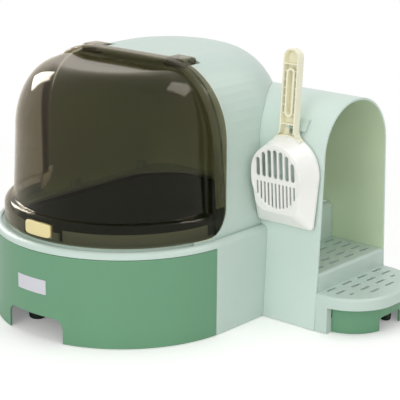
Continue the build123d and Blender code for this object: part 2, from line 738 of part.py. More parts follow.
with BuildPart() as step_unit:
    extrude(lower_step_plan(floor_gap, 0, mouth_x), amount=lower_tread_height - floor_gap)
    lower_top = step_unit.faces().sort_by(Axis.Z)[-1]
    fillet(lower_top.edges().sort_by(Axis.X)[1:], tread_round)
    extrude(upper_step_plan(floor_gap, 0, mouth_x), amount=upper_tread_height - floor_gap)
    fillet(step_unit.faces().sort_by(Axis.Z)[-1].edges().sort_by(Axis.X)[-1], tread_round)
    extrude(upper_step_plan(0, wall, mouth_x - wall), amount=upper_tread_height - wall, mode=Mode.SUBTRACT)
    extrude(upper_step_plan(0, wall, mouth_x + 2 * wall), amount=lower_tread_height - wall, mode=Mode.SUBTRACT)
    extrude(lower_step_plan(0, wall, mouth_x + wall), amount=lower_tread_height - wall, mode=Mode.SUBTRACT)
    with BuildSketch(steps):
        with Locations((jamb_x, 0)):
            Rectangle(body_half_width, body_half_width, align=(Align.MIN, Align.CENTER))
    extrude(amount=lower_lip_height, mode=Mode.SUBTRACT)
    with BuildSketch(steps.offset(floor_gap)):
        jamb_half_width = lower_step_half_width - small_drawer_inset + slide_gap
        jamb_width = lower_step_half_width - wall / 2 - jamb_half_width
        for y in (jamb_half_width + jamb_width / 2, -jamb_half_width - jamb_width / 2):
            with Locations((jamb_x - wall / 2, y)):
                Rectangle(wall, jamb_width)
    extrude(amount=lower_tread_height - wall - floor_gap)
    lower_rows = [mouth_x + lower_row_start + slot_pitch_across * row for row in range(4)]
    upper_rows = [mouth_x - upper_row_start - slot_pitch_across * row for row in range(5)]
    with BuildSketch(steps):
        for y in (-1.5, -0.5, 0.5, 1.5):
            for x in lower_rows[:2] + upper_rows:
                with Locations((x, y * slot_pitch_along)):
                    SlotOverall(slot_length, slot_width, rotation=90)
        for y in (-0.5, 0.5):
            for x in lower_rows[2:]:
                with Locations((x, y * slot_pitch_along)):
                    SlotOverall(slot_length, slot_width, rotation=90)
            with Locations((lower_rows[2], end_slot_share * y * slot_pitch_along)):
                SlotOverall(slot_length / 2, slot_width, rotation=90)
    extrude(amount=upper_tread_height, mode=Mode.SUBTRACT)
step_unit.part.label = "step_unit"
export_step(step_unit.part, "parts/step_unit.step")

# Tunnel clips: snap strips between the tunnel walls and the step unit -----------------------------------
tunnel_clip_length = 14.0
tunnel_clip_low = 18.0
tunnel_clip_high = 50.0

with BuildPart() as tunnel_clips:
    with BuildSketch(side.offset(step_back + slide_gap)) as strip:
        for hand in (1, -1):
            inner = tunnel_centre + hand * (upper_step_half_width + seat_gap)
            low_y = tunnel_centre + hand * (tunnel_half_width - wall - tunnel_lean * tunnel_clip_low)
            high_y = tunnel_centre + hand * (tunnel_half_width - wall - tunnel_lean * tunnel_clip_high)
            with BuildLine():
                Polyline(
                    (inner, tunnel_clip_low),
                    (low_y, tunnel_clip_low),
                    (high_y, tunnel_clip_high),
                    (inner, tunnel_clip_high),
                    close=True,
                )
            make_face()
    extrude(amount=tunnel_clip_length)
tunnel_clips.part.label = "tunnel_clips"
export_step(tunnel_clips.part, "parts/tunnel_clips.step")

# Small drawer under the steps: front, tray, feet and the rails that carry it -----------------------------
tray_bottom = 22.0
tray_top = 38.0
tray_wall = 2.5
tray_flange = 2.5
tray_back = 206.0
tray_flange_end = 300.0
small_front_top = lower_lip_height - slide_gap
small_notch_half_width = 27.0
small_notch_height = 21.0
small_notch_corner = 6.0
small_front_start = jamb_x + seam
tray_inset = small_drawer_inset + wall


with BuildPart() as step_drawer_front:
    extrude(lower_step_plan(floor_gap, small_drawer_inset, small_front_start), amount=small_front_top - floor_gap)
    extrude(lower_step_plan(0, tray_inset, tunnel_mouth), amount=small_front_top + wall, mode=Mode.SUBTRACT)
    with BuildSketch(side.offset(step_front)) as small_notch:
        with Locations((tunnel_centre, 0)):
            Rectangle(2 * small_notch_half_width, 2 * small_notch_height)
        fillet(small_notch.vertices().group_by(Axis.Y)[-1], small_notch_corner)
    extrude(amount=-lower_step_corner / 2, mode=Mode.SUBTRACT)
step_drawer_front.part.label = "step_drawer_front"
export_step(step_drawer_front.part, "parts/step_drawer_front.step")

with BuildPart() as step_drawer_tray:
    extrude(lower_step_plan(tray_bottom, tray_inset, tray_back), amount=tray_top - tray_bottom)
    with BuildSketch(steps.offset(tray_top - tray_flange)):
        with Locations((tray_back, 0)):
            flange_width = 2 * (lower_step_half_width - small_drawer_inset)
            Rectangle(tray_flange_end - tray_back, flange_width, align=(Align.MIN, Align.CENTER))
    extrude(amount=tray_flange)
    tray_hollow = lower_step_plan(tray_bottom + tray_wall, tray_inset + tray_wall, tray_back + tray_wall)
    extrude(tray_hollow, amount=tray_top, mode=Mode.SUBTRACT)
step_drawer_tray.part.label = "step_drawer_tray"
export_step(step_drawer_tray.part, "parts/step_drawer_tray.step")

small_foot_radius = 9.0
small_foot_x = step_front - 34.0
small_foot_y = 20.0

with BuildPart() as step_drawer_feet:
    with BuildSketch(steps.offset(tray_bottom)):
        with Locations((small_foot_x, small_foot_y), (small_foot_x, -small_foot_y)):
            Circle(small_foot_radius)
    extrude(amount=floor_gap - tray_bottom, taper=foot_taper)
    fillet(step_drawer_feet.faces().group_by(Axis.Z)[0].edges(), foot_round / 2)
step_drawer_feet.part.label = "step_drawer_feet"
export_step(step_drawer_feet.part, "parts/step_drawer_feet.step")

small_rail_rise = 2.2
small_rail_end = 292.0
small_rail_lap = 1.5

with BuildPart() as step_drawer_runners:
    rail_reach = upper_step_half_width - wall - (lower_step_half_width - small_drawer_inset) + small_rail_lap
    with BuildSketch(steps.offset(tray_top - tray_flange - seat_gap)):
        for hand in (1, -1):
            with Locations((tray_back, hand * (upper_step_half_width - wall - rail_reach / 2))):
                Rectangle(small_rail_end - tray_back, rail_reach, align=(Align.MIN, Align.CENTER))
    extrude(amount=-small_rail_rise)
step_drawer_runners.part.label = "step_drawer_runners"
export_step(step_drawer_runners.part, "parts/step_drawer_runners.step")

# Scoop: slotted head and ribbed channel handle, hung on a hook outside the tunnel ------------------------
scoop_foot_y = 97.0
scoop_lip = 4.0
scoop_wide_at = 80.0
scoop_lip_round = 6.0
scoop_round = 22.0
face_middle = 72.0
face_lip_width = 74.0
face_width = 89.0
face_half_length = 52.0
face_round = 20.0
lean_sin = sin(radians(scoop_lean))
lean_cos = cos(radians(scoop_lean))
face_sin = sin(radians(scoop_face_tilt - scoop_lean))
face_cos = cos(radians(scoop_face_tilt - scoop_lean))
scoop_plane = Plane(
    origin=(axis_x + scoop_centre, axis_y + scoop_foot_y, scoop_lip_height),
    x_dir=(1, 0, 0),
    z_dir=(0, -lean_cos, lean_sin),
)
face_plane = Plane(
    origin=scoop_plane.offset(scoop_depth).from_local_coords((0, face_middle)),
    x_dir=(1, 0, 0),
    z_dir=(0, -face_cos, -face_sin),
)


def scoop_outline(plane, inset, widths, heights, lip_corner, side_corner):
    """Spade outline of the scoop on a plane: lip, nearly straight sides and a round top."""
    lip, wide = (width / 2 - inset for width in widths)
    foot, widest, top = heights
    with BuildSketch(plane) as outline:
        with BuildLine():
            Polyline((-wide, widest), (-lip, foot + inset), (lip, foot + inset), (wide, widest))
            ThreePointArc((wide, widest), (0, top - inset), (-wide, widest))
        make_face()
        fillet(outline.vertices().group_by(Axis.Y)[0], lip_corner)
        fillet(outline.vertices().group_by(Axis.Y)[-1], side_corner)
    return outline.sketch


def rim_outline(depth, inset):
    """Outline of the scoop parallel to its rim."""
    widths = (scoop_lip_width, scoop_head_width)
    heights = (0.0, scoop_wide_at, scoop_head_length)
    return scoop_outline(scoop_plane.offset(depth), inset, widths, heights, scoop_lip_round - inset, scoop_round)


def face_outline(inset):
    """Outline of the scoop's slotted face, which tilts out towards the handle."""
    widths = (face_lip_width, face_width)
    heights = (-face_half_length, 0.0, face_half_length)
    return scoop_outline(face_plane.offset(-inset), inset, widths, heights, face_round - inset, scoop_round)


oval_half_height = 45.0
oval_half_width = 40.0
wide_slot = 7.2
wide_pitch = 10.6
fine_slot = 3.2
fine_pitch = 6.75
cross_bar = 7.0
slot_end = 2.5
ring_gap = 2.2
ring_width = 2.4
ring_rise = 1.0

with BuildPart() as scoop_bowl:
    extrude(rim_outline(0, 0), amount=scoop_lip)
    loft([rim_outline(scoop_lip, 0), face_outline(0)], ruled=True)

neck_width = 48.0
neck_foot = 126.0
neck_depth = 12.0
neck_top = scoop_head_length + neck_depth


def neck_shoulder(half, gap):
    """Arc of the scoop's round top across the neck, raised by gap."""
    rise = scoop_head_length - scoop_wide_at
    radius = ((scoop_head_width / 2) ** 2 + rise**2) / (2 * rise)
    edge = scoop_head_length - radius + sqrt(radius**2 - half**2) + gap
    return (half, edge), (0, scoop_head_length + gap), (-half, edge)


with BuildPart() as scoop_head:
    add(scoop_bowl.part)
    with BuildSketch(scoop_plane):
        with BuildLine():
            neck_right, neck_middle, neck_left = neck_shoulder(neck_width / 2, 0)
            ThreePointArc(neck_right, neck_middle, neck_left)
            Polyline(neck_left, (neck_left[0], neck_foot), (neck_right[0], neck_foot), neck_right)
        make_face()
    extrude(amount=neck_depth)
    loft([rim_outline(scoop_lip, scoop_wall), face_outline(scoop_wall)], ruled=True, mode=Mode.SUBTRACT)
    extrude(rim_outline(-wall, scoop_wall), amount=wall + scoop_lip, mode=Mode.SUBTRACT)
    with BuildSketch(face_plane):
        Ellipse(oval_half_width + ring_gap + ring_width, oval_half_height + ring_gap + ring_width)
        Ellipse(oval_half_width + ring_gap, oval_half_height + ring_gap, mode=Mode.SUBTRACT)
    extrude(amount=ring_rise)
    with BuildSketch(face_plane.offset(scoop_wall)):
        for column in range(-3, 4):
            u = column * wide_pitch
            top = oval_half_height * sqrt(1 - (u / (oval_half_width + slot_end)) ** 2)
            foot = cross_bar / 2 - slot_end
            with Locations((u, (top + foot) / 2)):
                SlotOverall(top - foot, wide_slot, rotation=90)
        for column in range(-5, 6):
            u = column * fine_pitch
            foot = -oval_half_height * sqrt(1 - (u / (oval_half_width + slot_end)) ** 2)
            top = -cross_bar / 2 - slot_end
            with Locations((u, (top + foot) / 2)):
                SlotOverall(top - foot, fine_slot, rotation=90)
    extrude(amount=-3 * scoop_wall, mode=Mode.SUBTRACT)
scoop_head.part.label = "scoop_head"
export_step(scoop_head.part, "parts/scoop_head.step")

handle_top = scoop_length - handle_width / 2
hang_slot_low = scoop_head_length + wall
hang_slot_high = 149.5
hang_slot_width = 6.0
cross_wall_low = hang_slot_high + scoop_wall
cross_wall_high = 240.0
cross_wall = 1.8
grip_ring_low = 163.0
grip_ring_high = 235.0
grip_ring_width = 14.6
grip_ring_wall = 3.0
grip_ring_drop = 1.0
rib_count = 6
rib_width = 1.8
rib_drop = 3.5
rib_start = 168.0
rib_pitch = 12.5

with BuildPart() as scoop_handle:
    for inset, start, mode in ((0, 0, Mode.ADD), (scoop_wall, scoop_wall, Mode.SUBTRACT)):
        with BuildSketch(scoop_plane.offset(start)):
            with BuildLine():
                half = handle_width / 2 - inset
                foot_right, foot_middle, foot_left = neck_shoulder(neck_width / 2 - 2 * inset, label_seat + inset)
                Line((half, handle_top), (half, neck_top))
                TangentArc((half, neck_top), foot_right, tangent=(0, -1))
                ThreePointArc(foot_right, foot_middle, foot_left)
                TangentArc((-half, neck_top), foot_left, tangent=(0, -1))
                Line((-half, neck_top), (-half, handle_top))
                ThreePointArc((-half, handle_top), (0, handle_top + half), (half, handle_top))
            make_face()
        extrude(amount=handle_depth, mode=mode)
    with BuildSketch(scoop_plane):
        for v in (cross_wall_low, cross_wall_high):
            with Locations((0, v)):
                Rectangle(handle_width - scoop_wall, cross_wall, align=(Align.CENTER, Align.MIN))
        with Locations((0, (grip_ring_low + grip_ring_high) / 2)):
            SlotOverall(grip_ring_high - grip_ring_low, grip_ring_width, rotation=90)
    extrude(amount=handle_depth - grip_ring_drop)
    with BuildSketch(scoop_plane):
        for rib in range(rib_count):
            with Locations((0, rib_start + rib_pitch * rib)):
                Rectangle(handle_width - scoop_wall, rib_width)
    extrude(amount=handle_depth - rib_drop)
    with BuildSketch(scoop_plane.offset(scoop_wall)):
        with Locations((0, (grip_ring_low + grip_ring_high) / 2)):
            ring_length = grip_ring_high - grip_ring_low - 2 * grip_ring_wall
            SlotOverall(ring_length, grip_ring_width - 2 * grip_ring_wall, rotation=90)
    extrude(amount=handle_depth, mode=Mode.SUBTRACT)
    with BuildSketch(scoop_plane):
        with Locations((0, (hang_slot_low + hang_slot_high) / 2)):
            RectangleRounded(hang_slot_width, hang_slot_high - hang_slot_low, seam)
    extrude(amount=handle_depth, mode=Mode.SUBTRACT)
scoop_handle.part.label = "scoop_handle"
export_step(scoop_handle.part, "parts/scoop_handle.step")

# Scoop hook: plate on the tunnel wall with a peg that rises through the scoop's hanging slot ---------------
hook_width = 43.0
hook_low = 297.0
hook_high = 313.0
hook_stand = 12.0
hook_slant = 10.0
peg_width = 5.0
peg_height = 4.5
peg_tilt = 20.0
peg_tip = 8.0

with BuildPart() as scoop_hook:
    with BuildSketch(side.offset(scoop_centre - hook_width / 2)):
        with BuildLine():
            Polyline(
                (scoop_foot_y + hook_stand, hook_low),
                (scoop_foot_y + hook_stand + hook_slant, hook_high),
                (tunnel_centre, hook_high),
                (tunnel_centre, hook_low),
                close=True,
            )
        make_face()
    extrude(amount=hook_width)
    with BuildSketch(side.offset(scoop_centre - peg_width / 2)):
        touch_y = scoop_foot_y + hang_slot_high * lean_sin - scoop_wall * lean_cos
        touch_z = scoop_lip_height + hang_slot_high * lean_cos + scoop_wall * lean_sin - seat_gap
        slope = tan(radians(peg_tilt))
        tip_y = touch_y - peg_tip
        root_y = tunnel_centre - tunnel_half_width / 2
        with BuildLine():
            Polyline(
                (tip_y, touch_z + slope * peg_tip),
                (root_y, touch_z + slope * (touch_y - root_y)),
                (root_y, touch_z + slope * (touch_y - root_y) - peg_height),
                (tip_y, touch_z + slope * peg_tip - peg_height),
                close=True,
            )
        make_face()
    extrude(amount=peg_width)
    tunnel_block = tunnel_arch(side.offset(tunnel_root), 0)
    extrude(tunnel_block, amount=tunnel_mouth - tunnel_root, mode=Mode.SUBTRACT)
scoop_hook.part.label = "scoop_hook"
export_step(scoop_hook.part, "parts/scoop_hook.step")
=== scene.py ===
"""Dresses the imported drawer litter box: moulded plastics, a smoked visor, studio light and the photograph's camera.

Lengths inside the classes are millimetres on the body axis, the upright centre line of the half round
front: X runs out through the tunnel, Y from the visor to the rear wall and Z up from the floor.
"""
import json
import logging
import math
from dataclasses import dataclass
from enum import Enum
from typing import Any, Sequence

import bpy
import numpy as np
from mathutils import Matrix, Vector

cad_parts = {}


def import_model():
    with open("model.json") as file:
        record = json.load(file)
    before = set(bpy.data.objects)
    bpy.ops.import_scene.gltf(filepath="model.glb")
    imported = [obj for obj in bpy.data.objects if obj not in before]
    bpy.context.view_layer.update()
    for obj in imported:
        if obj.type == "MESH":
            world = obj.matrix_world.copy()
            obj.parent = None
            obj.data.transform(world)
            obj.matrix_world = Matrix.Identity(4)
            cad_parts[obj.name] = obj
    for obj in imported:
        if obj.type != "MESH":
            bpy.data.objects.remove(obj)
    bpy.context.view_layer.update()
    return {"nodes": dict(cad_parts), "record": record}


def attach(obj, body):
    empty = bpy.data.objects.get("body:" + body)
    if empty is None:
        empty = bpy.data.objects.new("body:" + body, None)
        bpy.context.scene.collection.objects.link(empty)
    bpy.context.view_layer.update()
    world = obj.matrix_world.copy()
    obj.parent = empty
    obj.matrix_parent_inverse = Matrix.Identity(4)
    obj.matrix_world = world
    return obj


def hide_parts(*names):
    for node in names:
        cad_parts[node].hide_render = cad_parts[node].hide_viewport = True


log = logging.getLogger("litter_box")

MM = 0.001
# The body axis in the shared frame, in millimetres.
AXIS = np.array([-92.0, -51.7, 0.0])
# Points are welded where they agree to this many decimals of a millimetre.
WELD_DECIMALS = 3
WHITE = "#ffffff"


def linear(hex_code: str) -> tuple[float, float, float, float]:
    """Turn an sRGB hex colour into the linear RGBA that sockets hold.

    Args:
        hex_code: Six hex digits, with or without a leading hash.

    Returns:
        Linear red, green, blue and an alpha of 1.
    """
    raw = np.array([int(hex_code.lstrip("#")[i:i + 2], 16) for i in (0, 2, 4)]) / 255.0
    value = np.where(raw <= 0.04045, raw / 12.92, ((raw + 0.055) / 1.055) ** 2.4)
    return (float(value[0]), float(value[1]), float(value[2]), 1.0)


def add_node(tree: bpy.types.NodeTree, kind: str, settings: dict[str, Any], **links: Any) -> bpy.types.Node:
    """Add one node with its settings, constants and links.

    Args:
        tree: The node tree to add to.
        kind: Blender's node type.
        settings: Node properties by name.
        **links: Input sockets, by name with underscores for spaces or as "in" and their number. Each is given an
            output socket to link or a constant.

    Returns:
        The new node.
    """
    node = tree.nodes.new(kind)
    for name, value in settings.items():
        setattr(node, name, value)
    for name, value in links.items():
        key = int(name[2:]) if name.startswith("in") and name[2:].isdigit() else name.replace("_", " ")
        if isinstance(value, bpy.types.NodeSocket):
            tree.links.new(value, node.inputs[key])
        else:
            node.inputs[key].default_value = value
    return node


class Sheen(Enum):
    """Roughness that the tool or the process leaves on a skin."""

    WAXY = 0.45
    DULL = 0.4
    SATIN = 0.38
    FINE = 0.34
    TURNED = 0.3
    FOIL = 0.25


@dataclass(frozen=True)
class MouldedPlastic:
    """Injection moulded plastic: a faint spark-eroded grain and soft flow mottling.

    Where an inner colour is given, the faces that look towards the shell's middle have it: a painted glow, lighter
    and yellow-green, that stands in for the light a thin pale wall lets through between its walls.
    """

    name: str
    colour: str
    sheen: Sheen = Sheen.SATIN
    # Painted glow: the colour of the faces towards the middle, lighter and yellow-green, in place of light let
    # through the wall.
    inner: str | None = None
    middle: tuple[float, float, float] = (0.0, 0.0, 0.0)
    across: tuple[float, float, float] = (1.0, 1.0, 1.0)
    inner_from: float = 30.0
    ior: float = 1.5
    flow_mm: float = 60.0
    mottle: float = 0.035
    sheen_spread: float = 0.1
    grain_mm: float = 1.6
    grain_height_mm: float = 0.02
    grain_strength: float = 0.25

    def build(self) -> bpy.types.Material:
        """Make the material. The grain is drawn at 1.6 mm, coarser than the real texture, so that it shows.

        Returns:
            The node material, ready to assign.
        """
        material = bpy.data.materials.new(self.name)
        material.use_nodes = True
        tree = material.node_tree
        shader = tree.nodes["Principled BSDF"]
        shader.inputs["IOR"].default_value = self.ior
        place = add_node(tree, "ShaderNodeTexCoord", {})
        point = place.outputs["Object"]
        flow = add_node(
            tree, "ShaderNodeTexNoise", {}, Vector=point, Scale=1.0 / (self.flow_mm * MM), Detail=2.0
        ).outputs["Fac"]
        tone = add_node(
            tree, "ShaderNodeMapRange", {}, Value=flow, To_Min=1.0 - self.mottle, To_Max=1.0 + self.mottle
        )
        # The base colour carries the painted inner glow where an inner colour is given.
        tint = add_node(
            tree, "ShaderNodeMix", {"data_type": "RGBA", "blend_type": "MULTIPLY"}, in0=1.0,
            in6=linear(self.colour) if self.inner is None else self.painted_inner_glow(tree, place),
            in7=tone.outputs["Result"],
        )
        tree.links.new(tint.outputs[2], shader.inputs["Base Color"])
        rough = add_node(
            tree, "ShaderNodeMapRange", {}, Value=flow, To_Min=self.sheen.value * (1.0 - self.sheen_spread),
            To_Max=self.sheen.value * (1.0 + self.sheen_spread),
        )
        tree.links.new(rough.outputs["Result"], shader.inputs["Roughness"])
        grain = add_node(
            tree, "ShaderNodeTexNoise", {}, Vector=point, Scale=1.0 / (self.grain_mm * MM), Detail=2.0
        )
        bump = add_node(
            tree, "ShaderNodeBump", {}, Height=grain.outputs["Fac"], Strength=self.grain_strength,
            Distance=self.grain_height_mm * MM,
        )
        tree.links.new(bump.outputs["Normal"], shader.inputs["Normal"])
        return material

    def painted_inner_glow(self, tree: bpy.types.NodeTree, place: bpy.types.Node) -> bpy.types.NodeSocket:
        """Colour by side: outer where the skin faces away from the shell's middle, inner where it faces it.

        The side is the skin's normal times the way out from the middle, which is how far the skin's plane lies
        from it. Only the directions that the shell closes count: a tunnel is open along X, so its middle is a line.

        Args:
            tree: The material's nodes.
            place: Its texture coordinates.

        Returns:
            The colour socket.
        """
        # The inner colour is painted light: a lighter yellow-green glow on the faces that look towards the middle.
        middle = tuple(((np.array(self.middle) + AXIS) * MM).tolist())
        away = add_node(
            tree, "ShaderNodeVectorMath", {"operation": "SUBTRACT"}, in0=place.outputs["Object"], in1=middle
        )
        closed = add_node(
            tree, "ShaderNodeVectorMath", {"operation": "MULTIPLY"}, in0=away.outputs["Vector"], in1=self.across
        )
        outward = add_node(
            tree, "ShaderNodeVectorMath", {"operation": "DOT_PRODUCT"}, in0=closed.outputs["Vector"],
            in1=place.outputs["Normal"],
        )
        inside = add_node(
            tree, "ShaderNodeMath", {"operation": "LESS_THAN"}, in0=outward.outputs["Value"],
            in1=-self.inner_from * MM,
        )
        choice = add_node(
            tree, "ShaderNodeMix", {"data_type": "RGBA"}, in0=inside.outputs["Value"],
            in6=linear(self.colour), in7=linear(self.inner),
        )
        return choice.outputs[2]


@dataclass(frozen=True)
class SmokedClear:
    """Smoked clear polystyrene: a polished skin over a dark olive-brown tint, the same in each wall."""

    name: str
    tint: str
    ior: float = 1.27
    roughness: float = 0.03
    gloss: str = "#fbf4ea"
    ripple_mm: float = 90.0
    ripple_height_mm: float = 0.4
    ripple_strength: float = 0.2

    def build(self) -> bpy.types.Material:
        """Make the material: light that isn't mirrored by the skin goes straight on and is tinted.

        A ray that leaves the wall meets its far skin from behind, where the Fresnel node turns the index over. So
        the index is given turned over there, as its own power of -1, and both skins mirror alike.

        Returns:
            The node material, ready to assign.
        """
        material = bpy.data.materials.new(self.name)
        material.use_nodes = True
        tree = material.node_tree
        tree.nodes.remove(tree.nodes["Principled BSDF"])
        place = add_node(tree, "ShaderNodeTexCoord", {})
        flow = add_node(
            tree, "ShaderNodeTexNoise", {}, Vector=place.outputs["Object"], Scale=1.0 / (self.ripple_mm * MM),
            Detail=1.0,
        )
        ripple = add_node(
            tree, "ShaderNodeBump", {}, Height=flow.outputs["Fac"], Strength=self.ripple_strength,
            Distance=self.ripple_height_mm * MM,
        ).outputs["Normal"]
        clear = add_node(tree, "ShaderNodeBsdfTransparent", {}, Color=linear(self.tint))
        skin = add_node(
            tree, "ShaderNodeBsdfAnisotropic", {}, Color=linear(self.gloss), Roughness=self.roughness, Normal=ripple
        )
        side = add_node(tree, "ShaderNodeNewGeometry", {})
        turn = add_node(
            tree, "ShaderNodeMath", {"operation": "MULTIPLY_ADD"}, in0=side.outputs["Backfacing"], in1=-2.0, in2=1.0
        )
        index = add_node(tree, "ShaderNodeMath", {"operation": "POWER"}, in0=self.ior, in1=turn.outputs["Value"])
        share = add_node(tree, "ShaderNodeFresnel", {}, IOR=index.outputs["Value"], Normal=ripple)
        mix = add_node(
            tree, "ShaderNodeMixShader", {}, in0=share.outputs["Fac"], in1=clear.outputs["BSDF"],
            in2=skin.outputs["BSDF"],
        )
        tree.links.new(mix.outputs["Shader"], tree.nodes["Material Output"].inputs["Surface"])
        return material


# Finishes by material slot.
FINISHES = {
    # ABS from a satin tool: broad soft highlights on the hood and base, and no mirror.
    "mint_shell": MouldedPlastic("Moulded ABS mint", "#c2d3ca"),
    # The same from a finer tool: both drawer fronts shine a little more.
    "green_fascia": MouldedPlastic("Moulded ABS leaf green", "#669775", Sheen.FINE),
    # Polypropylene keeps a waxy skin: dull and dark, with hardly a highlight.
    "dark_green_pan": MouldedPlastic("Moulded PP dark green", "#43604b", Sheen.WAXY),
    "dark_foot": MouldedPlastic("Moulded PP near black green", "#16231c", Sheen.DULL),
    # Polystyrene from a polished tool: clear and mirror bright, and darker the more walls lie behind each other.
    "smoked_visor": SmokedClear("Moulded smoked polystyrene", "#c8c4b9"),
    # The pins hide in the smoked lugs, where the eye gets only their grey.
    "steel_pin": MouldedPlastic("Turned steel pin", "#8c8f8e", Sheen.TURNED),
    # A pale satin pad that stands out warm against the smoked band.
    "yellow_latch": MouldedPlastic("Moulded ABS butter yellow", "#e6d79f"),
    # Foil laid on the fascia: even and cool, and the smoothest skin here next to the visor's.
    "grey_label": MouldedPlastic("Satin printed foil, blank", "#cfcfd6", Sheen.FOIL),
    # Thick pale polypropylene: soft white with rounded shade, the handle a warmer cream.
    "white_scoop": MouldedPlastic("Moulded PP white", "#f3f3ee"),
    "cream_handle": MouldedPlastic("Moulded PP cream", "#f2efd6"),
}
# Two thin shells that are seen from inside too have a material of their own: their inner faces are painted a lighter
# yellow-green, a painted glow for light let through the thin wall, and the tunnel's outside is a lighter copy of the
# mint, painted light.
NODE_FINISHES = {
    "tunnel_shell": MouldedPlastic(
        "Moulded ABS mint, thin tunnel wall", "#cbdcd3", inner="#d3e4c4", middle=(0.0, 187.0, 210.0),
        across=(0.0, 1.0, 1.0),
    ),
    # The hood's inside is painted lighter and yellow-green: a painted glow under the smoked visor.
    "hood": MouldedPlastic(
        "Moulded ABS mint, thin hood wall", "#c2d3ca", inner="#dfe9cc", middle=(0.0, 150.0, 200.0)
    ),
}
# The visor's collar and lugs are thicker than its window, so they take more of the light.
VISOR_RIM = SmokedClear("Moulded smoked polystyrene, thick rim", "#c2beaf")


@dataclass(frozen=True)
class Camera:
    """The photograph's camera, solved from the photograph: angles in degrees, its place in millimetres."""

    azimuth: float = 40.5395
    elevation: float = 16.2042
    roll: float = 0.4709
    focal_px: float = 1432.748
    frame_px: float = 400.0
    sensor_mm: float = 36.0
    place: tuple[float, float, float] = (1467.99, -1538.91, 784.49)
    clip_m: tuple[float, float] = (0.01, 50.0)

    def axes(self) -> tuple[Vector, Vector, Vector]:
        """Camera axes worked out from the azimuth, elevation and roll.

        Returns:
            Unit vectors to the right, up and back of the camera.
        """
        a, e, r = (math.radians(v) for v in (self.azimuth, self.elevation, self.roll))
        back = Vector((math.sin(a) * math.cos(e), -math.cos(a) * math.cos(e), math.sin(e)))
        level = Vector((math.cos(a), math.sin(a), 0.0))
        up = back.cross(level)
        right = level * math.cos(r) + up * math.sin(r)
        return right, up * math.cos(r) - level * math.sin(r), back

    def build(self) -> None:
        """Place the camera where the photograph was taken from."""
        data = bpy.data.cameras.new("camera")
        data.sensor_width = self.sensor_mm
        data.lens = self.focal_px / self.frame_px * self.sensor_mm
        data.clip_start, data.clip_end = self.clip_m
        camera = bpy.data.objects.new("camera", data)
        turn = Matrix(self.axes()).transposed().to_4x4()
        place = Vector((np.array(self.place) + AXIS) * MM)
        camera.matrix_world = Matrix.Translation(place) @ turn
        bpy.context.scene.collection.objects.link(camera)
        bpy.context.scene.camera = camera


@dataclass(frozen=True)
class SoftBox:
    """A rectangular lamp, in metres and watts, that lights the object or only stands mirrored in polished skins."""

    name: str
    place: tuple[float, float, float]
    aim: tuple[float, float, float]
    size: tuple[float, float]
    power: float
    lights: bool = True

    def build(self) -> None:
        """Hang the lamp at its place, facing its aim."""
        data = bpy.data.lights.new(self.name, "AREA")
        data.shape = "RECTANGLE"
        data.size, data.size_y = self.size
        data.energy = self.power
        lamp = bpy.data.objects.new(self.name, data)
        facing = (Vector(self.aim) - Vector(self.place)).to_track_quat("-Z", "Y").to_matrix().to_4x4()
        lamp.matrix_world = Matrix.Translation(Vector(self.place)) @ facing
        lamp.visible_diffuse = self.lights
        lamp.visible_glossy = not self.lights
        bpy.context.scene.collection.objects.link(lamp)


# The window and the door only put their reflections in the visor, and the other three only light the object.
LAMPS = (
    SoftBox("window", (-1.51, 0.06, 0.92), (-0.15, -0.18, 0.36), (0.5, 0.6), 12.0, lights=False),
    SoftBox("door", (0.64, 0.75, 1.46), (0.03, -0.07, 0.36), (0.6, 0.6), 6.0, lights=False),
    SoftBox("front", (0.3, -2.6, 1.1), (0.05, 0.0, 0.2), (1.6, 1.6), 18.0),
    SoftBox("right", (2.1, -1.5, 1.1), (0.1, 0.0, 0.2), (1.4, 1.4), 13.0),
    SoftBox("top", (0.0, 0.1, 2.4), (0.0, 0.0, 0.2), (1.8, 1.8), 16.0),
)


